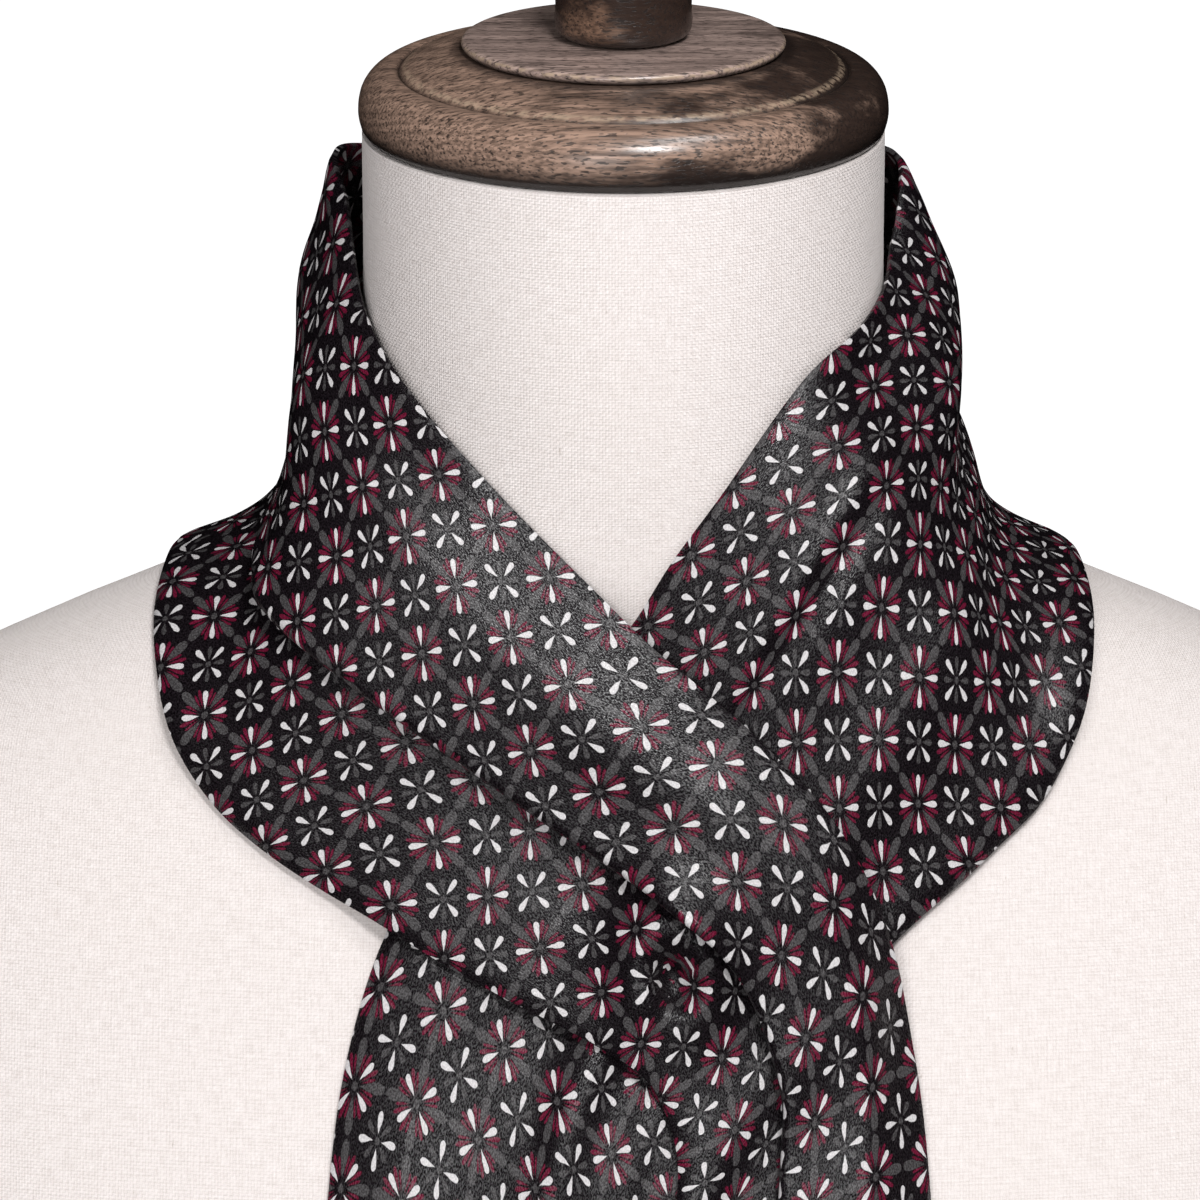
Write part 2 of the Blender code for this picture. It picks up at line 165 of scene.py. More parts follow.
room = bpy.data.worlds.new("white_room")
room.use_nodes = True
room.node_tree.nodes["Background"].inputs["Color"].default_value = (1.0, 1.0, 1.0, 1.0)
room.node_tree.nodes["Background"].inputs["Strength"].default_value = 0.16
room.cycles_visibility.glossy = False
bpy.context.scene.world = room

Softbox = namedtuple("Softbox", "name place size power mirrored lighting")
for box in (
    Softbox("softbox_right", (0.42, -1.75, 2.00), 0.5, 33.5, True, True),
    Softbox("softbox_left", (-0.60, -2.10, 1.10), 0.8, 20.0, False, True),
    Softbox("softbox_top", (0.45, -0.65, 2.0), 0.5, 8.0, True, True),
    Softbox("sheen_front", (-0.40, -2.10, 0.80), 0.7, 6.0, True, False),
):
    light_data = bpy.data.lights.new(box.name, "AREA")
    light_data.shape = "SQUARE"
    light_data.size = box.size
    light_data.energy = box.power
    light = bpy.data.objects.new(box.name, light_data)
    light.location = box.place
    light.visible_glossy = box.mirrored
    light.visible_diffuse = box.lighting
    light.rotation_euler = (throat - light.location).to_track_quat("-Z", "Y").to_euler()
    bpy.context.scene.collection.objects.link(light)

# Linen form
# A limbless torso of moulded shell, padded and covered in off-white linen, with flat covered
# armholes. The cover is drawn tight, so it has no folds; its threads run round and up the form.
FORM_RING = 128
FORM_STEP = 7.0
WELD = 0.000001
CUT_SNAP = 0.0001
NECK_TILT = math.radians(8.0)
TILT_STARTS_AT = 20.0
NECK_TOP = 128.0
NECK_CENTRE_Y = -12.0
ARMHOLE_X = 190.0
ARMHOLE_Z = -88.0
ARMHOLE_LEAN = math.radians(3.0)

Section = namedtuple("Section", "height half_width front back squareness")
FORM_SECTIONS = [
    Section(-595, 166, -102, 100, 2.6),
    Section(-540, 163, -101, 97, 2.5),
    Section(-470, 150, -96, 84, 2.4),
    Section(-400, 141, -93, 74, 2.3),
    Section(-330, 148, -98, 76, 2.3),
    Section(-250, 164, -108, 88, 2.4),
    Section(-180, 180, -110, 98, 2.4),
    Section(-140, 196, -102, 100, 2.3),
    Section(-100, 207, -90, 100, 2.2),
    Section(-60, 209, -76, 96, 2.1),
    Section(-25, 197, -66, 89, 2.0),
    Section(-10, 182, -62, 85, 2.0),
    Section(5, 155, -60, 80, 2.0),
    Section(20, 122, -60, 75, 2.0),
    Section(35, 85, -62, 70, 2.0),
    Section(45, 68, -63, 65, 2.0),
    Section(60, 59.5, -65, 58, 2.0),
    Section(90, 57.2, -68, 50, 2.0),
    Section(128, 57, -70, 46, 2.0),
]


def spline(knots, rows, at):
    """Smooth curve through rows of values, with slopes taken from the neighbouring rows."""
    knots = np.asarray(knots, float)
    rows = np.asarray(rows, float)
    at = np.asarray(at, float)
    slopes = np.gradient(rows, knots, axis=0)
    left = np.clip(np.searchsorted(knots, at) - 1, 0, len(knots) - 2)
    shape = (-1,) + (1,) * (rows.ndim - 1)
    gap = (knots[left + 1] - knots[left]).reshape(shape)
    part = (at - knots[left]).reshape(shape) / gap
    square = part * part
    cube = square * part
    start = (2 * cube - 3 * square + 1) * rows[left] + (cube - 2 * square + part) * gap * slopes[left]
    end = (3 * square - 2 * cube) * rows[left + 1] + (cube - square) * gap * slopes[left + 1]
    return start + end


def to_world(points):
    """Millimetres from the pit of the neck to metres above the floor."""
    return (np.asarray(points, float) + (0.0, 0.0, PIT_HEIGHT)) * MM


def laid_grid(points, chart):
    """A flat grid whose points are moved to their places, with its chart as a map in metres."""
    rows, lanes = points.shape[:2]
    shape = bmesh.new()
    bmesh.ops.create_grid(shape, x_segments=lanes - 1, y_segments=rows - 1, size=1.0)
    places = to_world(points)
    mapped = np.asarray(chart, float) * MM
    layer = shape.loops.layers.uv.new("cloth")
    spot = {}
    for vert in shape.verts:
        row = round((vert.co.y + 1.0) / 2.0 * (rows - 1))
        lane = round((vert.co.x + 1.0) / 2.0 * (lanes - 1))
        spot[vert] = (row, lane)
        vert.co = places[row, lane]
    for face in shape.faces:
        for loop in face.loops:
            loop[layer].uv = mapped[spot[loop.vert]]
    return shape


def form_points():
    """Rings of the form from its underside to the top of the neck, and the cover's thread map."""
    table = np.array(FORM_SECTIONS, float)
    heights = []
    for lower, upper in zip(FORM_SECTIONS, FORM_SECTIONS[1:]):
        count = max(2, round((upper.height - lower.height) / FORM_STEP))
        heights.extend(np.linspace(lower.height, upper.height, count, endpoint=False))
    heights.append(NECK_TOP)
    rows = spline(table[:, 0], table[:, 1:], heights)
    turn = np.linspace(math.pi / 2, 2.5 * math.pi, FORM_RING + 1)
    points = np.empty((len(heights), len(turn), 3))
    for index, (height, row) in enumerate(zip(heights, rows)):
        half_width, front, back, squareness = row
        power = 2.0 / squareness
        depth = (back - front) / 2
        y = depth * np.sign(np.sin(turn)) * np.abs(np.sin(turn)) ** power
        share = np.clip((height - TILT_STARTS_AT) / (NECK_TOP - TILT_STARTS_AT), 0.0, 1.0)
        points[index, :, 0] = half_width * np.sign(np.cos(turn)) * np.abs(np.cos(turn)) ** power
        points[index, :, 1] = y + (back + front) / 2
        points[index, :, 2] = height + y * math.tan(NECK_TILT * share)
    points[:, -1] = points[:, 0]
    around = np.linalg.norm(np.diff(points, axis=1), axis=2)
    around = np.concatenate([np.zeros((len(points), 1)), np.cumsum(around, axis=1)], axis=1)
    around -= around[:, -1:] / 2
    upward = np.linalg.norm(np.diff(points, axis=0), axis=2).mean(axis=1)
    upward = np.concatenate([[0.0], np.cumsum(upward)])
    upward = np.repeat(upward[:, None], len(turn), axis=1)
    return points, np.stack([around, upward], axis=2)


def cut_armhole(shape, side):
    """Cut one shoulder off flat and close the cut."""
    where = Vector(to_world((side * ARMHOLE_X, 0.0, ARMHOLE_Z)))
    facing = Vector((side * math.cos(ARMHOLE_LEAN), 0.0, math.sin(ARMHOLE_LEAN)))
    every = list(shape.verts) + list(shape.edges) + list(shape.faces)
    cut = bmesh.ops.bisect_plane(
        shape, geom=every, plane_co=where, plane_no=facing, clear_outer=True, dist=CUT_SNAP)
    rim = [item for item in cut["geom_cut"] if isinstance(item, bmesh.types.BMEdge)]
    bmesh.ops.holes_fill(shape, edges=rim, sides=0)


def finished_piece(name, shape, material, sharp_degrees=40.0):
    """Turn a worked shape into an object that rides on the part's one body."""
    mesh = bpy.data.meshes.new(name)
    shape.to_mesh(mesh)
    shape.free()
    mesh.materials.append(material)
    mesh.shade_smooth()
    mesh.set_sharp_from_angle(angle=math.radians(sharp_degrees))
    piece = bpy.data.objects.new(name, mesh)
    bpy.context.scene.collection.objects.link(piece)
    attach(piece, "root")
    return piece


def sockets(group, inputs, outputs):
    """Give a node group its named inputs with their first values, and its outputs."""
    for name, kind, value in inputs:
        socket = group.interface.new_socket(name, in_out="INPUT", socket_type=kind)
        if value is not None:
            socket.default_value = value
    for name, kind in outputs:
        group.interface.new_socket(name, in_out="OUTPUT", socket_type=kind)


# The plain weave, shared by every cloth: threads that pass over and under each other, some of
# them thicker, as a height and a tone.
weave = bpy.data.node_groups.new("plain_weave", "ShaderNodeTree")
sockets(
    weave,
    [("Vector", "NodeSocketVector", None), ("Threads per Metre", "NodeSocketFloat", 1800.0),
     ("Slub", "NodeSocketFloat", 0.5)],
    [("Height", "NodeSocketFloat"), ("Tone", "NodeSocketFloat")],
)
wire = Wiring(weave)
weave_in = wire.node("NodeGroupInput")
weave_out = wire.node("NodeGroupOutput")
apart = wire.node("ShaderNodeSeparateXYZ")
wire.feed(apart.inputs[0], weave_in.outputs["Vector"])
warp_place = wire.math("MULTIPLY", apart.outputs["X"], weave_in.outputs["Threads per Metre"])
weft_place = wire.math("MULTIPLY", apart.outputs["Y"], weave_in.outputs["Threads per Metre"])
warp = wire.math("ABSOLUTE", wire.math("SINE", wire.math("MULTIPLY", warp_place, math.pi)))
weft = wire.math("ABSOLUTE", wire.math("SINE", wire.math("MULTIPLY", weft_place, math.pi)))
crossing = wire.math("ADD", wire.math("FLOOR", warp_place), wire.math("FLOOR", weft_place))
on_top = wire.math("PINGPONG", crossing, 1.0)
thread = wire.math("ADD", wire.math("MULTIPLY", warp, on_top),
                   wire.math("MULTIPLY", weft, wire.math("SUBTRACT", 1.0, on_top)))
warp_slub = wire.noise(wire.stretched(weave_in.outputs["Vector"], (1900.0, 260.0, 1.0)), 1.0)
weft_slub = wire.noise(wire.stretched(weave_in.outputs["Vector"], (220.0, 1700.0, 1.0)), 1.0)
slub = wire.math("ADD", warp_slub, weft_slub)
slub = wire.math("MULTIPLY", wire.math("SUBTRACT", slub, 1.0), weave_in.outputs["Slub"])
wire.feed(weave_out.inputs["Height"], wire.math("ADD", thread, slub))
wire.feed(weave_out.inputs["Tone"], slub)

linen, wire, linen_shader = new_material("linen")
linen_map = wire.node("ShaderNodeUVMap", uv_map="cloth")
linen_weave = wire.node("ShaderNodeGroup", node_tree=weave)
wire.feed(linen_weave.inputs["Vector"], linen_map.outputs["UV"])
linen_weave.inputs["Threads per Metre"].default_value = 1500.0
linen_weave.inputs["Slub"].default_value = 1.3
linen_place = wire.node("ShaderNodeTexCoord").outputs["Object"]
flecks = wire.noise(wire.stretched(linen_map.outputs["UV"], (900.0, 260.0, 1.0)), 1.0, detail=3.0)
fleck_mask = wire.ramp(flecks, 0.70, 0.78, 0.0, 0.45)
cloudy = wire.noise(linen_place, 16.0, detail=4.0)
tone = wire.ramp(linen_weave.outputs["Tone"], -0.9, 0.9, 0.0, 1.0, smooth=False)
linen_colour = wire.blend(tone, (0.645, 0.585, 0.565, 1.0), (0.79, 0.735, 0.72, 1.0))
linen_gaps = wire.ramp(linen_weave.outputs["Height"], 0.1, 0.8, 0.26, 0.0, smooth=False)
linen_colour = wire.blend(linen_gaps, linen_colour, (0.42, 0.35, 0.31, 1.0))
linen_clouds = wire.ramp(cloudy, 0.35, 0.7, 0.0, 0.10)
linen_colour = wire.blend(linen_clouds, linen_colour, (0.66, 0.60, 0.55, 1.0))
linen_colour = wire.blend(fleck_mask, linen_colour, (0.36, 0.30, 0.25, 1.0))
wire.feed(linen_shader.inputs["Base Color"], linen_colour)
linen_shader.inputs["Roughness"].default_value = 0.88
linen_shader.inputs["Specular IOR Level"].default_value = 0.25
linen_shader.inputs["Sheen Weight"].default_value = 0.08
wire.bump(linen_shader, linen_weave.outputs["Height"], 0.5, 0.0002)

form_rings, form_chart = form_points()
torso_shape = laid_grid(form_rings, form_chart)
bmesh.ops.remove_doubles(torso_shape, verts=torso_shape.verts, dist=WELD)
open_rims = [edge for edge in torso_shape.edges if edge.is_boundary]
bmesh.ops.holes_fill(torso_shape, edges=open_rims, sides=0)
for torso_side in (-1, 1):
    cut_armhole(torso_shape, torso_side)
bmesh.ops.recalc_face_normals(torso_shape, faces=torso_shape.faces)
torso = finished_piece("linen_torso", torso_shape, linen)
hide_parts("form_torso")

form_surface = BVHTree.FromPolygons(
    [Vector(vert.co) / MM - Vector((0.0, 0.0, PIT_HEIGHT)) for vert in torso.data.vertices],
    [tuple(face.vertices) for face in torso.data.polygons],
)

# Neck cap
# Three pieces turned from one walnut-stained board and stacked on the neck: a wide rounded rim
# with a groove, a thin disc, and a knob. The grain runs across the board, so it lies level.
SEAT_GAP = 0.3
TURN_STEPS = 128
neck_axis = Vector((0.0, -math.sin(NECK_TILT), math.cos(NECK_TILT)))
neck_top = Vector(to_world((0.0, NECK_CENTRE_Y, NECK_TOP)))

grain = bpy.data.node_groups.new("wood_grain", "ShaderNodeTree")
sockets(
    grain,
    [("Vector", "NodeSocketVector", None), ("Stain", "NodeSocketFloat", 0.5),
     ("Light Wood", "NodeSocketColor", (0.285, 0.178, 0.125, 1.0)),
     ("Dark Wood", "NodeSocketColor", (0.020, 0.012, 0.010, 1.0))],
    [("Color", "NodeSocketColor"), ("Roughness", "NodeSocketFloat"), ("Height", "NodeSocketFloat")],
)
wire = Wiring(grain)
grain_in = wire.node("NodeGroupInput")
grain_out = wire.node("NodeGroupOutput")
drift = wire.noise(wire.stretched(grain_in.outputs["Vector"], (14.0, 30.0, 30.0)), 1.0, detail=3.0)
rings = wire.node("ShaderNodeTexWave", wave_type="BANDS", bands_direction="Z", wave_profile="SIN")
wire.feed(rings.inputs["Vector"], wire.stretched(grain_in.outputs["Vector"], (0.05, 0.5, 1.0)))
rings.inputs["Scale"].default_value = 130.0
rings.inputs["Distortion"].default_value = 5.0
rings.inputs["Detail"].default_value = 3.0
rings.inputs["Detail Scale"].default_value = 1.2
fibre = wire.noise(wire.stretched(grain_in.outputs["Vector"], (60.0, 1500.0, 1500.0)), 1.0, detail=3.0)
pores = wire.noise(wire.stretched(grain_in.outputs["Vector"], (420.0, 2000.0, 2000.0)), 1.0, detail=1.0)
pore_mask = wire.ramp(pores, 0.57, 0.64)
patches = wire.noise(wire.stretched(grain_in.outputs["Vector"], (24.0, 40.0, 60.0)), 1.0, detail=5.0,
                     roughness=0.62)
stained = wire.math("ADD", patches, wire.math("MULTIPLY", drift, 0.25))
stained = wire.math("ADD", stained, wire.math("SUBTRACT", grain_in.outputs["Stain"], 0.5))
board = wire.node("ShaderNodeSeparateXYZ")
wire.feed(board.inputs[0], grain_in.outputs["Vector"])
stained = wire.math("ADD", stained, wire.math("MULTIPLY", board.outputs["X"], 4.2))
stain_mask = wire.ramp(stained, 0.56, 0.72)
wood = wire.blend(wire.ramp(rings.outputs["Fac"], 0.2, 0.9, 0.05, 0.30),
                  grain_in.outputs["Light Wood"], grain_in.outputs["Dark Wood"])
wood = wire.blend(wire.ramp(fibre, 0.38, 0.66, 0.0, 0.62), wood, grain_in.outputs["Dark Wood"])
wood = wire.blend(wire.math("MULTIPLY", stain_mask, 0.93), wood, grain_in.outputs["Dark Wood"])
wood = wire.blend(wire.math("MULTIPLY", pore_mask, 0.75), wood, (0.012, 0.008, 0.007, 1.0))
wire.feed(grain_out.inputs["Color"], wood)
gloss = wire.math("ADD", 0.22, wire.math("MULTIPLY", fibre, 0.16))
wire.feed(grain_out.inputs["Roughness"], wire.math("ADD", gloss, wire.math("MULTIPLY", pore_mask, 0.2)))
relief = wire.math("SUBTRACT", wire.math("MULTIPLY", fibre, 0.5), pore_mask)
wire.feed(grain_out.inputs["Height"], relief)


def wood_material(name, stain, light_wood_and_sheen, shift):
    """Varnished wood cut from its own place in the board; on the rim and disc its pale colour is
    lightened as painted sheen.
    """
    made, own, shader = new_material(name)
    place = own.node("ShaderNodeMapping")
    own.feed(place.inputs["Vector"], own.node("ShaderNodeTexCoord").outputs["Object"])
    place.inputs["Location"].default_value = shift
    place.inputs["Rotation"].default_value = (NECK_TILT, 0.0, 0.0)
    effect = own.node("ShaderNodeGroup", node_tree=grain)
    own.feed(effect.inputs["Vector"], place.outputs["Vector"])
    effect.inputs["Stain"].default_value = stain
    effect.inputs["Light Wood"].default_value = (*light_wood_and_sheen, 1.0)
    # The 'shade' attribute is painted shade, partly dark stain: it darkens the groove, the undersides
    # and the seats between pieces.
    shade_and_stain_mark = own.node("ShaderNodeAttribute", attribute_name="shade")
    worn = own.node("ShaderNodeAttribute", attribute_name="worn")
    rubbed = own.noise(own.stretched(place.outputs["Vector"], (420.0, 900.0, 900.0)), 1.0)
    rubbed = own.math("MULTIPLY", own.ramp(rubbed, 0.38, 0.58), worn.outputs["Fac"])
    colour = own.blend(shade_and_stain_mark.outputs["Fac"], effect.outputs["Color"], (0.012, 0.008, 0.007, 1.0))
    colour = own.blend(rubbed, colour, (0.42, 0.31, 0.22, 1.0))
    own.feed(shader.inputs["Base Color"], colour)
    own.feed(shader.inputs["Roughness"], effect.outputs["Roughness"])
    shader.inputs["Coat Weight"].default_value = 0.35
    shader.inputs["Coat Roughness"].default_value = 0.20
    own.bump(shader, effect.outputs["Height"], 0.35, 0.0002)
    return made


def rounded(points, steps=5):
    """A smooth run of a profile through a few of its points."""
    points = np.array(points, float)
    reach = np.concatenate([[0.0], np.cumsum(np.linalg.norm(np.diff(points, axis=0), axis=1))])
    along = np.linspace(0.0, reach[-1], steps * len(points))
    return [tuple(point) for point in spline(reach, points, along)]


def band_strength(co, bands):
    """How strongly some bands, each a radius, height, width and amount, mark a turned point."""
    radius = math.hypot(co.x, co.y) / MM
    height = co.z / MM
    total = sum(amount * math.exp(-((radius - r) ** 2 + (height - h) ** 2) / width ** 2)
                for r, h, width, amount in bands)
    return min(1.0, total)


def ease_edges(piece, name, width, degrees):
    """Round the edges that are sharper than an angle."""
    edge = piece.modifiers.new(name, "BEVEL")
    edge.width = width * MM
    edge.segments = 2
    edge.limit_method = "ANGLE"
    edge.angle_limit = math.radians(degrees)


def turned_piece(name, profile, bottom, painted_shade_and_stain_bands, worn_bands, material, node):
    """Spin a profile on the lathe, mark its painted shade and stain and its rubbed bands, and seat it
    on the neck.
    """
    shape = bmesh.new()
    ring = [shape.verts.new((radius * MM, 0.0, height * MM)) for radius, height in profile]
    edges = [shape.edges.new(pair) for pair in zip(ring, ring[1:])]
    bmesh.ops.spin(shape, geom=ring + edges, cent=(0, 0, 0), axis=(0, 0, 1), angle=2 * math.pi,
                   steps=TURN_STEPS, use_merge=True)
    bmesh.ops.remove_doubles(shape, verts=shape.verts, dist=WELD)
    bmesh.ops.recalc_face_normals(shape, faces=shape.faces)
    # The 'shade' layer holds painted shade, partly dark stain.
    shade = shape.verts.layers.float.new("shade")
    worn = shape.verts.layers.float.new("worn")
    for vert in shape.verts:
        vert[shade] = band_strength(vert.co, painted_shade_and_stain_bands)
        vert[worn] = band_strength(vert.co, worn_bands)
    lean = Matrix.Rotation(NECK_TILT, 4, "X")
    seat = Matrix.Translation(neck_top + neck_axis * (bottom * MM)) @ lean
    bmesh.ops.transform(shape, matrix=seat, verts=shape.verts)
    piece = finished_piece(name, shape, material, 35.0)
    ease_edges(piece, "eased edges", 0.25, 35.0)
    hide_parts(node)


rim_profile = (
    [(0.0, 17.7), (36.2, 17.7)]
    + rounded([(37.0, 17.5), (40.0, 16.8), (44.0, 15.5), (46.6, 14.4)])
    + [(47.2, 14.1), (47.8, 13.7), (48.3, 13.1), (48.9, 12.6)]
    + rounded([(49.6, 13.2), (52.0, 13.1), (55.0, 11.6), (57.0, 8.9), (57.7, 6.0), (57.7, 3.2),
               (57.2, 1.2)])
    + [(56.4, 0.0), (0.0, 0.0)]
)
# The first list of bands on each piece is painted shade, partly dark stain: in the groove, under the
# edges and where the pieces meet.
turned_piece("cap_rim", rim_profile, SEAT_GAP,
             [(48.9, 12.7, 0.7, 0.95), (36.4, 17.7, 1.2, 0.7), (57.0, 0.4, 3.4, 1.1)],
             [(47.6, 13.9, 0.55, 0.8)],
             # The rim's pale wood is lightened to stand in for the sheen of its varnish: partly painted
             # sheen.
             wood_material("walnut_rim", 0.47, (0.365, 0.238, 0.178), (0.0, 0.021, 0.004)), "neck_cap")
disc_profile = (
    [(0.0, 2.2), (33.8, 2.2)]
    + rounded([(34.5, 2.1), (35.1, 1.7), (35.3, 1.1), (35.1, 0.5)], 4)
    + [(34.6, 0.0), (0.0, 0.0)]
)
turned_piece("cap_top_disc", disc_profile, 18.0 + SEAT_GAP,
             [(35.0, 0.2, 0.5, 0.8), (15.2, 2.2, 1.4, 0.8)],
             [(35.2, 1.5, 0.5, 0.8)],
             # The disc's pale wood is lightened and greyed to stand in for the cool sheen of its
             # varnish: partly painted sheen.
             wood_material("walnut_disc", 0.26, (0.430, 0.315, 0.275), (0.0, 0.054, 0.03)), "cap_disc")
knob_profile = (
    rounded([(0.0, 37.0), (4.0, 36.7), (8.0, 35.4), (12.0, 32.4), (14.8, 27.0), (15.5, 21.0),
             (15.1, 14.0), (14.8, 7.0)])
    + rounded([(15.0, 4.0), (14.8, 2.0), (13.8, 0.6), (12.4, 0.0)], 4)
    + [(0.0, 0.0)]
)
turned_piece("cap_turned_knob", knob_profile, 20.5 + SEAT_GAP,
             [(14.0, 0.2, 1.6, 0.7)],
             [],
             wood_material("walnut_knob", 0.66, (0.285, 0.165, 0.110), (0.0, 0.11, 0.01)), "cap_knob")

# Silk scarf
# One length of printed twill silk, cut 260 by 1560 millimetres, folded in half and sewn into a
# flat band. It goes round the back of the neck, crosses right over left, and hangs down in front.
SILK_WALL = 1.1
FORM_GAP = 0.45
BAND_GAP = 0.5
LAYER_PITCH = 2.9
EDGE_ROLL = 1.1
EDGE_REACH = 5.0
BASE_LANES = 61
BASE_EASING = 6
NORMAL_EASING = 4
FRONT_OF_ALL = -400.0
OUTSIDE_REACH = 60.0
LIFT_ROWS = 3
LIFT_LANES = 2
LIFT_EASING = 70

Station = namedtuple("Station", "edge belly bend turn hem")
BACK_OF_NECK = Station((0, 54, 113), (0, 60, 88), (0, 66, 62), (0, 76, 34), (0, 84, 4))
RIGHT_OF_NECK = [
    Station((-32, 45, 116), (-36, 52, 90), (-40, 58, 63), (-45, 65, 38), (-54, 78, 8)),
    Station((-54, 27, 121), (-59, 34, 92), (-62, 41, 64), (-73, 50, 37), (-92, 57, 18)),
    Station((-63.5, 11, 121.5), (-67.5, 15, 93), (-68, 17, 62), (-78, 21, 41), (-99, 26, 30)),
    Station((-60.3, -3, 112), (-67.5, -3, 87), (-67.5, -5, 58), (-77, -7, 41), (-102, -3, 30)),
    Station((-58.3, -14, 101), (-67, -15, 80), (-68, -20, 53), (-78, -26, 36), (-103, -30, 21)),
    Station((-55.5, -26, 91), (-66, -28, 71), (-68.5, -35, 46), (-80, -42, 25), (-100, -47, 5)),
    Station((-48.5, -41, 79.5), (-60.5, -43, 59), (-69, -48, 36), (-80, -50, 16), (-95, -52, -6)),
]
LEFT_OF_NECK = [
    Station((30, 45, 116), (35, 52, 90), (40, 58, 63), (45, 65, 38), (54, 78, 8)),
    Station((51, 29, 121), (59, 35, 92), (62, 42, 64), (73, 50, 37), (92, 57, 18)),
    Station((60.5, 12, 120), (69, 15, 94), (70.5, 17, 64), (80, 21, 41), (99, 26, 30)),
    Station((60, 1, 111.5), (71, 0, 89), (71.5, -5, 58), (80, -7, 41), (102, -3, 30)),
    Station((58, -8, 103), (71.5, -12, 79), (72, -20, 52), (80, -26, 36), (103, -30, 21)),
    Station((54, -22, 96), (69, -26, 73), (71, -35, 46), (81, -42, 25), (100, -47, 5)),
    Station((47, -36, 89), (60, -41, 65), (69, -48, 38), (81, -50, 16), (95, -52, -6)),
]

Chest = namedtuple("Chest", "edge_x edge_z hem_x hem_z bulge")
OVER_CHEST = [
    Chest(-41.5, 71.5, -88, -15, 3.0),
    Chest(-30.7, 60.2, -78, -23, 3.0),
    Chest(-17.9, 47.2, -65, -31, 2.0),
    Chest(-5.1, 34.9, -52, -38, 1.0),
    Chest(2.3, 28.2, -42, -44, 0.5),
    Chest(16.1, 15.2, -25, -53, 0),
    Chest(28.9, 2.1, -8, -61.5, 0),
    Chest(44, -16, 5, -70, 0),
    Chest(55, -36, 11, -84, 0),
    Chest(62, -62, 9, -104, 0),
    Chest(66, -96, 1, -130, 0),
    Chest(67, -140, -9, -165, 0),
    Chest(66, -190, -16, -205, 0),
    Chest(65, -260, -20, -265, 0),
    Chest(65, -390, -21, -390, 0),
    Chest(66, -511, -22, -508, 0),
]
UNDER_CHEST = [
    Chest(39, 81, 89, -15, 3.0),
    Chest(29.8, 69.3, 81, -22, 3.0),
    Chest(20.5, 55.9, 73, -29, 3.0),
    Chest(9.8, 41.3, 63, -37, 2.0),
    Chest(1.5, 27.4, 51, -48, 1.0),
    Chest(-12, 12, 38, -60, 0),
    Chest(-27, -4, 27, -72, 0),
    Chest(-41, -20, 19, -86, 0),
    Chest(-52, -40, 15, -102, 0),
    Chest(-60, -66, 14, -122, 0),
    Chest(-64, -98, 15, -145, 0),
    Chest(-66, -140, 17, -175, 0),
    Chest(-66, -190, 19, -210, 0),
    Chest(-66, -260, 20, -265, 0),
    Chest(-66, -390, 20, -390, 0),
    Chest(-68, -498, 21, -502, 0),
]

# Distances run along the band from the centre of the back: below zero over the wearer's right
# shoulder to the end on top, above zero over the left shoulder to the end beneath.
Drape = namedtuple("Drape", "distance pleat_depth pleat_place pleat_share fold_height fold_count")
DRAPES = [
    Drape(-820, 10, 0.44, 1, 6.0, 2.0),
    Drape(-560, 13, 0.46, 1, 4.5, 2.0),
    Drape(-420, 16, 0.50, 1, 1.5, 2.0),
    Drape(-330, 20, 0.53, 1, 0, 2.0),
    Drape(-250, 21, 0.52, 1, 0, 2.0),
    Drape(-195, 15, 0.55, 1, 0, 2.0),
    Drape(-155, 9, 0.64, 1, 0, 2.0),
    Drape(-125, 5, 0.68, 0.6, 0, 2.0),
    Drape(-85, 0, 0.68, 0, 0.8, 2.0),
    Drape(0, 0, 0.55, 0, 2.5, 2.0),
    Drape(85, 0, 0.5, 0, 0.8, 2.2),
    Drape(200, 0, 0.5, 0, 1.0, 2.5),
    Drape(300, 0, 0.5, 0, 1.5, 2.5),
    Drape(420, 0, 0.5, 0, 3.0, 2.5),
    Drape(560, 0, 0.5, 0, 5.0, 2.5),
    Drape(820, 0, 0.5, 0, 6.5, 2.5),
]

Fold = namedtuple("Fold", "start end place_start place_end height half_width")
FOLDS = [
    Fold(-150, -20, 0.30, 0.22, 1.6, 9.0),
    Fold(-95, 40, 0.62, 0.50, 2.2, 10.0),
    Fold(-235, -130, 0.16, 0.34, 1.1, 8.0),
    Fold(-330, -205, 0.24, 0.36, 1.2, 8.0),
    Fold(-345, -240, 0.72, 0.80, 1.4, 7.0),
    Fold(20, 150, 0.25, 0.34, 1.8, 9.0),
    Fold(60, 190, 0.66, 0.55, 2.2, 10.0),
    Fold(140, 285, 0.30, 0.46, 1.3, 8.0),
    Fold(170, 300, 0.62, 0.78, 1.5, 9.0),
    Fold(160, 266, 0.20, 0.34, 1.7, 3.6),
    Fold(160, 266, 0.25, 0.40, -1.5, 2.6),
]

Dent = namedtuple("Dent", "distance across height half_length half_width")
DENTS = [
    Dent(-296, 44.0, 10.5, 15.0, 13.0),
    Dent(-297.5, 49.5, -17.0, 5.6, 4.6),
    Dent(-288, 50.0, 2.4, 4.5, 6.5),
    Dent(-293, 61.0, 2.6, 5.0, 7.0),
    Dent(318, 56.0, 2.2, 30.0, 5.0),
    Dent(318, 72.0, 2.2, 30.0, 5.0),
]

Ripple = namedtuple("Ripple", "height length width start")
RIPPLES = [Ripple(0.55, 46.0, 13.0, 3.1), Ripple(0.22, 17.0, 7.0, 8.7)]


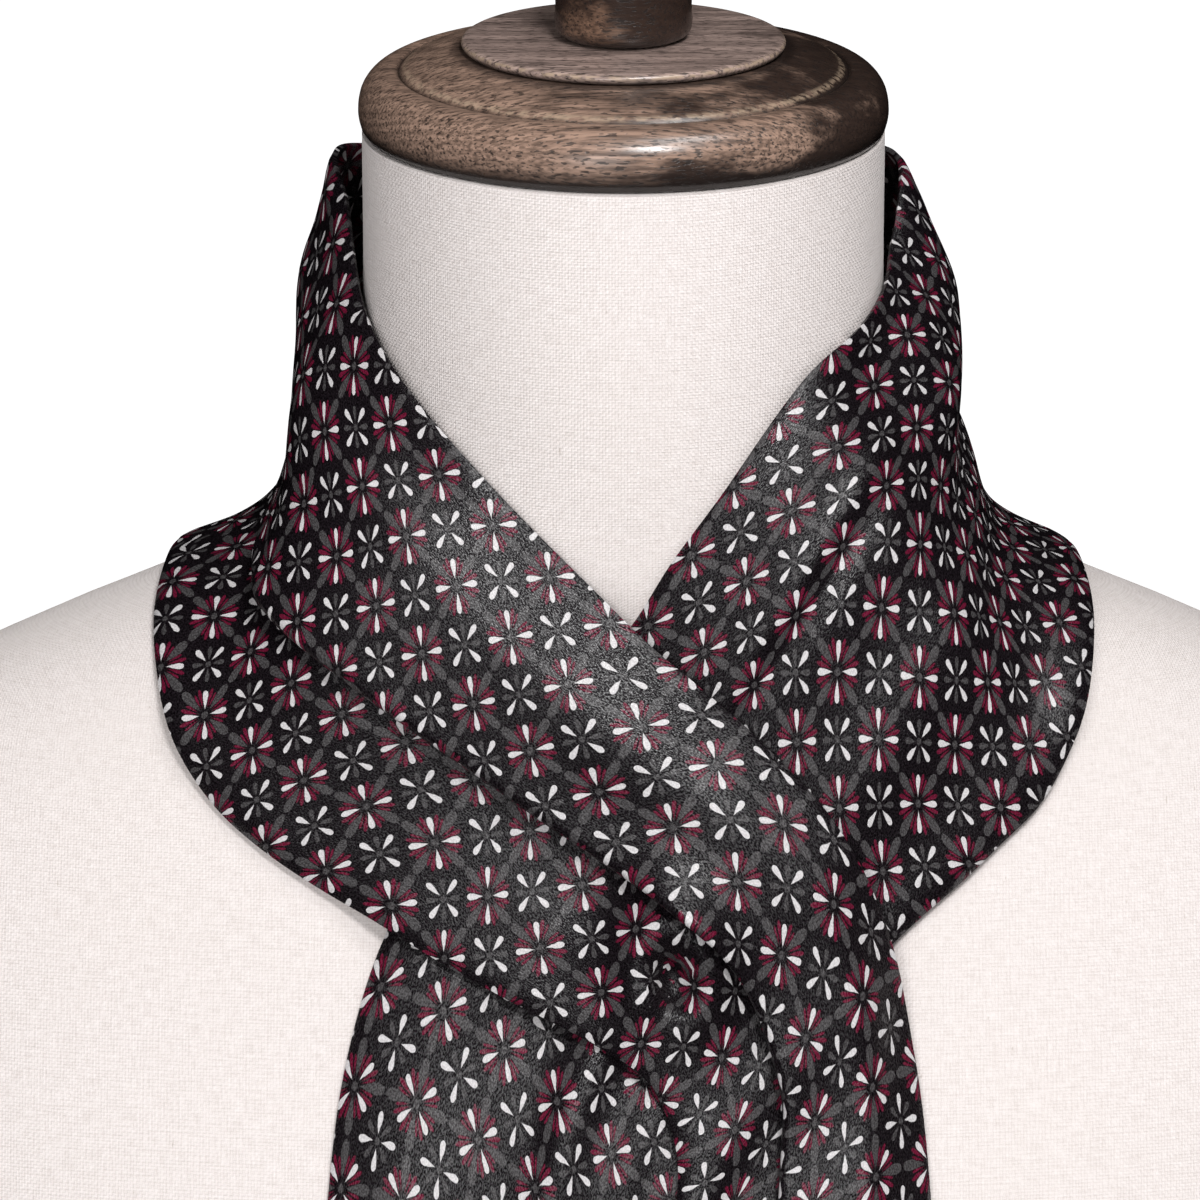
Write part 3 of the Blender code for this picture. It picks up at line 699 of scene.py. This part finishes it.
def chest_station(row):
    """A station on the chest: its lanes lie on the form, or span it tautly where it is hollow."""
    shares = np.linspace(0.0, 1.0, len(Station._fields))
    x = row.edge_x + (row.hem_x - row.edge_x) * shares
    z = row.edge_z + (row.hem_z - row.edge_z) * shares
    ahead = Vector((0.0, 1.0, 0.0))
    starts = [Vector((px, FRONT_OF_ALL, pz)) for px, pz in zip(x, z)]
    hits = [form_surface.ray_cast(start, ahead)[0].y for start in starts]
    laid = np.array(hits) - FORM_GAP - SILK_WALL / 2
    taut = laid[0] + (laid[-1] - laid[0]) * shares - row.bulge * np.sin(math.pi * shares)
    return np.stack([x, np.minimum(laid, taut), z], axis=1)


def band_stations():
    """All stations of the scarf with their distances from the centre of the back."""
    over = [list(row) for row in RIGHT_OF_NECK] + [chest_station(row) for row in OVER_CHEST]
    under = [list(row) for row in LEFT_OF_NECK] + [chest_station(row) for row in UNDER_CHEST]
    stations = np.array(over[::-1] + [list(BACK_OF_NECK)] + under, float)
    steps = np.linalg.norm(np.diff(stations, axis=0), axis=2).mean(axis=1)
    distance = np.concatenate([[0.0], np.cumsum(steps)])
    return distance - distance[len(over)], stations


def even_steps(points):
    """The same curve with its points at even distances."""
    reach = np.concatenate([[0.0], np.cumsum(np.linalg.norm(np.diff(points, axis=0), axis=1))])
    evenly = np.linspace(0.0, reach[-1], len(points))
    return np.stack([np.interp(evenly, reach, points[:, axis]) for axis in range(3)], axis=1)


def eased(values, rounds):
    """A grid smoothed along and across by averaging with its neighbours."""
    for _ in range(rounds):
        ring = np.pad(values, ((1, 1), (1, 1)) + ((0, 0),) * (values.ndim - 2), mode="edge")
        along = (ring[:-2, 1:-1] + ring[2:, 1:-1]) / 2
        across = (ring[1:-1, :-2] + ring[1:-1, 2:]) / 2
        values = values * 0.5 + (along + across) * 0.25
    return values


def clear_of_form(grid):
    """Push every point of a grid out to its gap from the linen."""
    least = FORM_GAP + SILK_WALL / 2
    for index in np.ndindex(grid.shape[:2]):
        nearest, normal = form_surface.find_nearest(Vector(grid[index]))[:2]
        if (Vector(grid[index]) - nearest).dot(normal) < least:
            grid[index] = nearest + normal * least
    return grid


def base_grid(knots, stations, distances):
    """The surface that the band lies on, from neck edge to outer edge, clear of the form."""
    across = spline(knots, stations, distances)
    lanes = np.linspace(0.0, 1.0, BASE_LANES)
    grid = np.empty((len(distances), BASE_LANES, 3))
    for index, points in enumerate(across):
        chords = np.linalg.norm(np.diff(points, axis=0), axis=1)
        reach = np.concatenate([[0.0], np.cumsum(chords)])
        grid[index] = even_steps(spline(reach, points, lanes * reach[-1]))
    return clear_of_form(eased(clear_of_form(grid), BASE_EASING))


def outward_normals(grid):
    """Unit normals of a grid, turned away from the form."""
    normals = np.cross(np.gradient(grid, axis=0), np.gradient(grid, axis=1))
    normals /= np.linalg.norm(normals, axis=2, keepdims=True)
    middle = (grid.shape[0] // 2, grid.shape[1] // 2)
    facing = form_surface.find_nearest(Vector(grid[middle]))[1]
    normals = normals if Vector(normals[middle]).dot(facing) > 0 else -normals
    normals = eased(normals, NORMAL_EASING)
    return normals / np.linalg.norm(normals, axis=2, keepdims=True)


def clear_of_band(grid, lower):
    """Lift a grid off the band that lies beneath it, and ease the lift out round its edges."""
    need = np.zeros(grid.shape[:2])
    away = np.zeros(grid.shape)
    for index in np.ndindex(need.shape):
        nearest, normal = form_surface.find_nearest(Vector(grid[index]))[:2]
        away[index] = normal
        hit = lower.ray_cast(nearest + normal * OUTSIDE_REACH, -normal)[0]
        if hit is not None:
            top = (hit - nearest).dot(normal) + BAND_GAP + SILK_WALL
            need[index] = max(0.0, top - (Vector(grid[index]) - nearest).dot(normal))
    reach = ((LIFT_ROWS, LIFT_ROWS), (LIFT_LANES, LIFT_LANES))
    window = (2 * LIFT_ROWS + 1, 2 * LIFT_LANES + 1)
    around = np.lib.stride_tricks.sliding_window_view(np.pad(need, reach, mode="edge"), window)
    need = around.max(axis=(2, 3))
    lift = need.copy()
    for _ in range(LIFT_EASING):
        lift = np.maximum(need, eased(lift, 1))
    return grid + eased(away, BASE_EASING) * eased(lift, LIFT_ROWS)[:, :, None]


def fold_heights(distances, shares, widths):
    """The listed folds and the small unevenness of the cloth, over the base surface."""
    height = np.zeros((len(distances), len(shares)))
    inward = np.minimum(shares, 1.0 - shares)[None, :] * widths[:, None]
    height += EDGE_ROLL * np.sqrt(np.clip(inward / EDGE_REACH, 0.0, 1.0))
    for dent in DENTS:
        along = (distances[:, None] - dent.distance) / dent.half_length
        aside = (shares[None, :] * widths[:, None] - dent.across) / dent.half_width
        height += dent.height * np.exp(-along ** 2 - aside ** 2)
    for fold in FOLDS:
        along = np.clip((distances - fold.start) / (fold.end - fold.start), 0.0, 1.0)
        swell = np.sin(math.pi * along) ** 2
        place = fold.place_start + (fold.place_end - fold.place_start) * along
        away = (shares[None, :] - place[:, None]) * widths[:, None] / fold.half_width
        height += fold.height * swell[:, None] * np.exp(-away ** 2)
    for row, distance in enumerate(distances):
        for lane, share in enumerate(shares):
            far = share * widths[row]
            for ripple in RIPPLES:
                place = Vector((distance / ripple.length, far / ripple.width, ripple.start))
                height[row, lane] += ripple.height * noise.noise(place)
    return np.maximum(height, 0.0)


TOP_LANES = 26
TURN_LANES = 6
MIDDLE_LANES = 5
BOTTOM_LANES = 24


def smoothstep(value):
    """Ease from 0 to 1."""
    value = np.clip(value, 0.0, 1.0)
    return value * value * (3.0 - 2.0 * value)


def cross_section(width, drape):
    """Distances across the base, and heights over it, of a band with one pleat that can fade out."""
    radius = LAYER_PITCH / 2
    stack = 2 * LAYER_PITCH
    fold = drape.pleat_place * width
    depth = drape.pleat_depth
    top = np.linspace(0.0, fold, TOP_LANES)
    turn = np.linspace(math.pi / 2, -math.pi / 2, TURN_LANES + 2)[1:-1]
    middle = np.linspace(fold, fold - depth, MIDDLE_LANES)
    bottom = np.linspace(fold - depth, width, BOTTOM_LANES)
    across = np.concatenate([
        top, fold + radius * np.cos(turn), middle, fold - depth - radius * np.cos(turn), bottom])
    height = np.concatenate([
        stack * smoothstep(top / (fold - depth)), stack - radius + radius * np.sin(turn),
        np.full(MIDDLE_LANES, LAYER_PITCH), radius + radius * np.sin(turn), np.zeros(BOTTOM_LANES)])
    plain = np.linspace(0.0, width, len(across))
    share = drape.pleat_share
    return plain + (across - plain) * share, height * share


def lane_values(reach, values, across):
    """Values along a station's base curve at the given distances across it."""
    return np.stack([np.interp(across, reach, values[:, axis]) for axis in range(3)], axis=1)


def drape_stretch(distances, grid):
    """Lay the cloth over its base, with its pleat, hanging folds and listed folds."""
    table = np.array(DRAPES, float)
    rows = spline(table[:, 0], table[:, 1:], distances)
    normals = outward_normals(grid)
    reaches = np.cumsum(np.linalg.norm(np.diff(grid, axis=1), axis=2), axis=1)
    reaches = np.concatenate([np.zeros((len(grid), 1)), reaches], axis=1)
    widths = reaches[:, -1]
    shares = np.linspace(0.0, 1.0, BASE_LANES)
    uneven = fold_heights(distances, shares, widths)
    sheet = []
    for index, row in enumerate(rows):
        drape = Drape(distances[index], *row)
        drape = drape._replace(
            pleat_depth=max(drape.pleat_depth, 0.0), pleat_share=min(max(drape.pleat_share, 0.0), 1.0))
        width = widths[index]
        across, height = cross_section(width, drape)
        share = np.clip(across / width, 0.0, 1.0)
        wave = 0.5 - 0.5 * np.cos(2 * math.pi * drape.fold_count * share)
        height = height + max(drape.fold_height, 0.0) * wave
        height = height + np.interp(across, reaches[index], uneven[index])
        base = lane_values(reaches[index], grid[index], across)
        normal = lane_values(reaches[index], normals[index], across)
        sheet.append(base + normal * height[:, None])
    return np.array(sheet)


CHART_ROUNDS = 300
CHART_PULL = 0.11


def flat_chart(sheet, distances):
    """The cloth laid flat: a chart whose distances match those on the draped sheet."""
    widths = np.linalg.norm(np.diff(sheet, axis=1), axis=2)
    across = np.concatenate([np.zeros((len(sheet), 1)), np.cumsum(widths, axis=1)], axis=1)
    chart = np.stack([np.repeat(distances[:, None], across.shape[1], axis=1), across], axis=2)
    ties = []
    for row_step, lane_step in ((1, 0), (0, 1), (1, 1), (1, -1)):
        last_row = len(sheet) - row_step
        first_lane = max(0, -lane_step)
        last_lane = sheet.shape[1] - max(0, lane_step)
        start = (slice(0, last_row), slice(first_lane, last_lane))
        end = (slice(row_step, len(sheet)), slice(first_lane + lane_step, last_lane + lane_step))
        ties.append((start, end, np.linalg.norm(sheet[end] - sheet[start], axis=2)))
    for _ in range(CHART_ROUNDS):
        moved = np.zeros_like(chart)
        for start, end, length in ties:
            gap = chart[end] - chart[start]
            now = np.linalg.norm(gap, axis=2)
            pull = gap * ((now - length) / np.maximum(now, 1e-6))[:, :, None]
            moved[start] += pull
            moved[end] -= pull
        chart = chart + moved * CHART_PULL
    return chart


# The cloth creeps and eases as it is worn, so the rows of its print wander off the band's edges.
# Each row gives the creep along and across at three places: the neck edge, the middle, the hem.
PrintSlip = namedtuple("PrintSlip", "distance edge_along edge_across middle_along middle_across"
                                    " hem_along hem_across")
SLIP_LANES = (3.0, 36.0, 100.0)
PRINT_START = (1.6, 2.8)
PRINT_SLIPS = [
    PrintSlip(-420, 0, 0, 0, 0, 0, 0),
    PrintSlip(-340, 0, 5, 0, 5, 4, 1),
    PrintSlip(-280, -1, 9, 0.5, 8, 7, -1),
    PrintSlip(-262, -0.5, 4, 0.5, 3.5, 8, 0),
    PrintSlip(-245, -1.5, 0, 1, 0, 11, 4),
    PrintSlip(-229, 0, -2, 3.5, -1.5, 11, 3),
    PrintSlip(-214, 1.5, -3, 7, -2, 12, 0),
    PrintSlip(-200, 3, -4, 12, -2.5, 14, -2),
    PrintSlip(-188, 3.5, -6, 16.5, -2, 16, -2),
    PrintSlip(-110, 2, -3, 10, -1, 10, -1),
    PrintSlip(0, 0, 0, 0, 0, 0, 0),
    PrintSlip(110, 1, 3, 4, 4, 4, 4),
    PrintSlip(170, 1, 7, 10.5, 9, 10, 8),
    PrintSlip(190, -1.5, 5, 12, 5, 12, 5),
    PrintSlip(204, 1, 3.5, 14, 4.5, 13, 4),
    PrintSlip(218, 3.5, 1.5, 15, 5, 15, 4),
    PrintSlip(232, 5, 0, 17, 4, 16, 3),
    PrintSlip(245, 5.5, -1, 18, 2.5, 17, 2),
    PrintSlip(320, 6, 0, 12, 0, 12, -0.5),
    PrintSlip(420, 0, 0, 0, 0, 0, 0),
]


def slipped(chart):
    """The chart with the creep of the cloth added, measured from the centre of a flower."""
    table = np.array(PRINT_SLIPS, float)
    flat = chart.reshape(-1, 2)
    creep = spline(table[:, 0], table[:, 1:], np.clip(flat[:, 0], table[0, 0], table[-1, 0]))
    creep = creep.reshape(-1, len(SLIP_LANES), 2)
    lane = np.interp(flat[:, 1], SLIP_LANES, range(len(SLIP_LANES)))
    lower = np.minimum(lane.astype(int), len(SLIP_LANES) - 2)
    part = (lane - lower)[:, None]
    every = np.arange(len(flat))
    creep = creep[every, lower] * (1.0 - part) + creep[every, lower + 1] * part
    return (flat + creep - PRINT_START).reshape(chart.shape)


NEAR_STEP = 2.3
FAR_STEP = 3.6
HANGING_FROM = 400.0

knots, stations = band_stations()


def front_steps(end):
    """Distances along one half: close where the cloth shows most, wider where it hangs."""
    near = np.linspace(0.0, HANGING_FROM, round(HANGING_FROM / NEAR_STEP) + 1)
    far = np.linspace(HANGING_FROM, end, round((end - HANGING_FROM) / FAR_STEP) + 1)
    return np.concatenate([near, far[1:]])


under_steps = front_steps(knots[-1])
over_steps = -front_steps(-knots[0])[::-1]
under_sheet = drape_stretch(under_steps, base_grid(knots, stations, under_steps))
under_top = [Vector(point) for point in under_sheet.reshape(-1, 3)]
lanes_across = under_sheet.shape[1]
under_quads = [
    (row * lanes_across + lane, row * lanes_across + lane + 1,
     (row + 1) * lanes_across + lane + 1, (row + 1) * lanes_across + lane)
    for row in range(len(under_sheet) - 1) for lane in range(lanes_across - 1)
]
lower_band = BVHTree.FromPolygons(under_top, under_quads)
over_base = clear_of_band(base_grid(knots, stations, over_steps), lower_band)
over_sheet = drape_stretch(over_steps, over_base)
scarf_steps = np.concatenate([over_steps, under_steps[1:]])
scarf_sheet = np.concatenate([over_sheet, under_sheet[1:]])
scarf_chart = flat_chart(scarf_sheet, scarf_steps)
scarf_chart = slipped(scarf_chart)

silk, silk_wire, silk_shader = new_material("printed_silk")
wire = silk_wire
silk_map = wire.node("ShaderNodeUVMap", uv_map="cloth")
silk_weave = wire.node("ShaderNodeGroup", node_tree=weave)
twill_way = wire.stretched(silk_map.outputs["UV"], (1, 1, 1), math.radians(45))
wire.feed(silk_weave.inputs["Vector"], twill_way)
silk_weave.inputs["Threads per Metre"].default_value = 3200.0
silk_weave.inputs["Slub"].default_value = 0.3

# The print is two small flowers that take turns on a net. One has four white petals and four
# dim ones. The other has four white petals, sixteen thin red ones and four broad grey leaves.
REPEAT_ALONG = 17.6
REPEAT_ACROSS = 16.4
FLOWER_PITCH = 17.0
flowers = bpy.data.node_groups.new("flower_repeat", "ShaderNodeTree")
sockets(flowers, [("Vector", "NodeSocketVector", None)],
        [("White", "NodeSocketFloat"), ("Red", "NodeSocketFloat"), ("Leaf", "NodeSocketFloat"),
         ("Dim", "NodeSocketFloat")])
wire = Wiring(flowers)
flowers_in = wire.node("NodeGroupInput")
flowers_out = wire.node("NodeGroupOutput")


def flower_place(vector, shift):
    """Radius in millimetres and angle about the nearest flower centre of one square net."""
    cell = wire.node("ShaderNodeSeparateXYZ")
    wire.feed(cell.inputs[0], vector)
    off = []
    for axis, repeat in (("X", REPEAT_ALONG), ("Y", REPEAT_ACROSS)):
        place = wire.math("ADD", wire.math("MULTIPLY", cell.outputs[axis], 1.0 / (repeat * MM)), shift)
        inside = wire.math("SUBTRACT", wire.math("FRACT", place), 0.5)
        off.append(wire.math("MULTIPLY", inside, FLOWER_PITCH))
    radius = wire.math("SQRT", wire.math("ADD", wire.math("MULTIPLY", off[0], off[0]),
                                         wire.math("MULTIPLY", off[1], off[1])))
    return radius, wire.math("ARCTAN2", off[1], off[0])


def around_flower(angle, count, turn_degrees):
    """The angle from the nearest of a ring of petals."""
    step = 2 * math.pi / count
    turned = wire.math("SUBTRACT", angle, math.radians(turn_degrees))
    within = wire.math("WRAP", wire.math("ADD", turned, step / 2), step, 0.0)
    return wire.math("SUBTRACT", within, step / 2)


def petal(radius, angle, inner, outer, half_width, fullness):
    """A petal along its own line: 1 inside, 0 outside. Fullness moves its widest point outwards."""
    along = wire.math("MULTIPLY", radius, wire.math("COSINE", angle))
    aside = wire.math("ABSOLUTE", wire.math("MULTIPLY", radius, wire.math("SINE", angle)))
    share = wire.ramp(along, inner, outer, smooth=False)
    swell = wire.math("POWER", share, fullness)
    closing = wire.math("POWER", share, 2.0 + 2.0 * fullness)
    close = wire.math("SQRT", wire.math("SUBTRACT", 1.0, closing))
    edge = wire.math("MULTIPLY", wire.math("MULTIPLY", swell, close), half_width)
    return wire.ramp(wire.math("SUBTRACT", edge, aside), -0.02, 0.16)


def strongest(*masks):
    """The highest of several masks."""
    top = masks[0]
    for mask in masks[1:]:
        top = wire.math("MAXIMUM", top, mask)
    return top


rich_radius, rich_angle = flower_place(flowers_in.outputs["Vector"], 0.5)
plain_radius, plain_angle = flower_place(flowers_in.outputs["Vector"], 0.0)
rich_white = petal(rich_radius, around_flower(rich_angle, 4, 45.0), 1.2, 5.7, 1.2, 1.0)
plain_white = petal(plain_radius, around_flower(plain_angle, 4, 0.0), 1.0, 5.1, 1.2, 1.0)
RED_PETALS = ((15.0, 5.5, 0.56), (28.5, 6.2, 0.82), (61.5, 6.3, 0.82), (75.0, 5.6, 0.56))
reds = [petal(rich_radius, around_flower(rich_angle, 4, turn), 1.5, reach, half, 1.0)
        for turn, reach, half in RED_PETALS]
leaf = petal(rich_radius, around_flower(rich_angle, 4, 0.0), 1.6, 8.2, 1.75, 0.8)
dim = strongest(petal(plain_radius, around_flower(plain_angle, 4, 45.0), 1.0, 4.3, 1.05, 0.8),
                wire.ramp(plain_radius, 0.8, 0.6), wire.ramp(rich_radius, 0.9, 0.7))
wire.feed(flowers_out.inputs["White"], strongest(rich_white, plain_white))
wire.feed(flowers_out.inputs["Red"], strongest(*reds))
wire.feed(flowers_out.inputs["Leaf"], leaf)
wire.feed(flowers_out.inputs["Dim"], dim)

wire = silk_wire
shaken = wire.node("ShaderNodeTexNoise")
wire.feed(shaken.inputs["Vector"], silk_map.outputs["UV"])
shaken.inputs["Scale"].default_value = 900.0
wobble = wire.node("ShaderNodeVectorMath", operation="SCALE")
centred = wire.node("ShaderNodeVectorMath", operation="SUBTRACT")
wire.feed(centred.inputs[0], shaken.outputs["Color"])
centred.inputs[1].default_value = (0.5, 0.5, 0.5)
wire.feed(wobble.inputs[0], centred.outputs[0])
wobble.inputs["Scale"].default_value = 0.00035
printed_at = wire.node("ShaderNodeVectorMath", operation="ADD")
wire.feed(printed_at.inputs[0], silk_map.outputs["UV"])
wire.feed(printed_at.inputs[1], wobble.outputs[0])
motif = wire.node("ShaderNodeGroup", node_tree=flowers)
wire.feed(motif.inputs["Vector"], printed_at.outputs[0])
speckle = wire.noise(silk_map.outputs["UV"], 2400.0)
float_way = wire.stretched(silk_map.outputs["UV"], (1700.0, 2900.0, 1.0), math.radians(35))
glint = wire.noise(float_way, 1.0)
grainy = wire.ramp(speckle, 0.40, 0.62)
ground = wire.blend(grainy, (0.0016, 0.0010, 0.0014, 1.0), (0.0120, 0.0088, 0.0112, 1.0))
leaf_colour = wire.blend(grainy, (0.030, 0.027, 0.028, 1.0), (0.078, 0.074, 0.076, 1.0))
red_colour = wire.blend(grainy, (0.075, 0.0035, 0.014, 1.0), (0.140, 0.0085, 0.032, 1.0))
print_colour = wire.blend(wire.math("MULTIPLY", motif.outputs["Leaf"], 0.92), ground, leaf_colour)
print_colour = wire.blend(wire.math("MULTIPLY", motif.outputs["Dim"], 0.85), print_colour, leaf_colour)
print_colour = wire.blend(motif.outputs["Red"], print_colour, red_colour)
white_colour = wire.blend(grainy, (0.46, 0.44, 0.445, 1.0), (0.585, 0.565, 0.57, 1.0))
print_colour = wire.blend(motif.outputs["White"], print_colour, white_colour)
wire.feed(silk_shader.inputs["Base Color"], print_colour)
silk_shader.inputs["Roughness"].default_value = 0.31
wire.feed(silk_shader.inputs["Specular IOR Level"], wire.ramp(glint, 0.42, 0.64, 0.04, 0.80))
silk_relief = wire.math("ADD", wire.math("MULTIPLY", silk_weave.outputs["Height"], 0.3), glint)
wire.bump(silk_shader, silk_relief, 0.3, 0.00025)

scarf_shape = laid_grid(scarf_sheet, scarf_chart)
scarf = finished_piece("silk_scarf", scarf_shape, silk, sharp_degrees=180.0)
wall = scarf.modifiers.new("two layers of silk", "SOLIDIFY")
wall.thickness = SILK_WALL * MM
wall.offset = 0.0
ease_edges(scarf, "rolled edges", 0.5, 60.0)
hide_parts("scarf_neck", "scarf_over", "scarf_under")
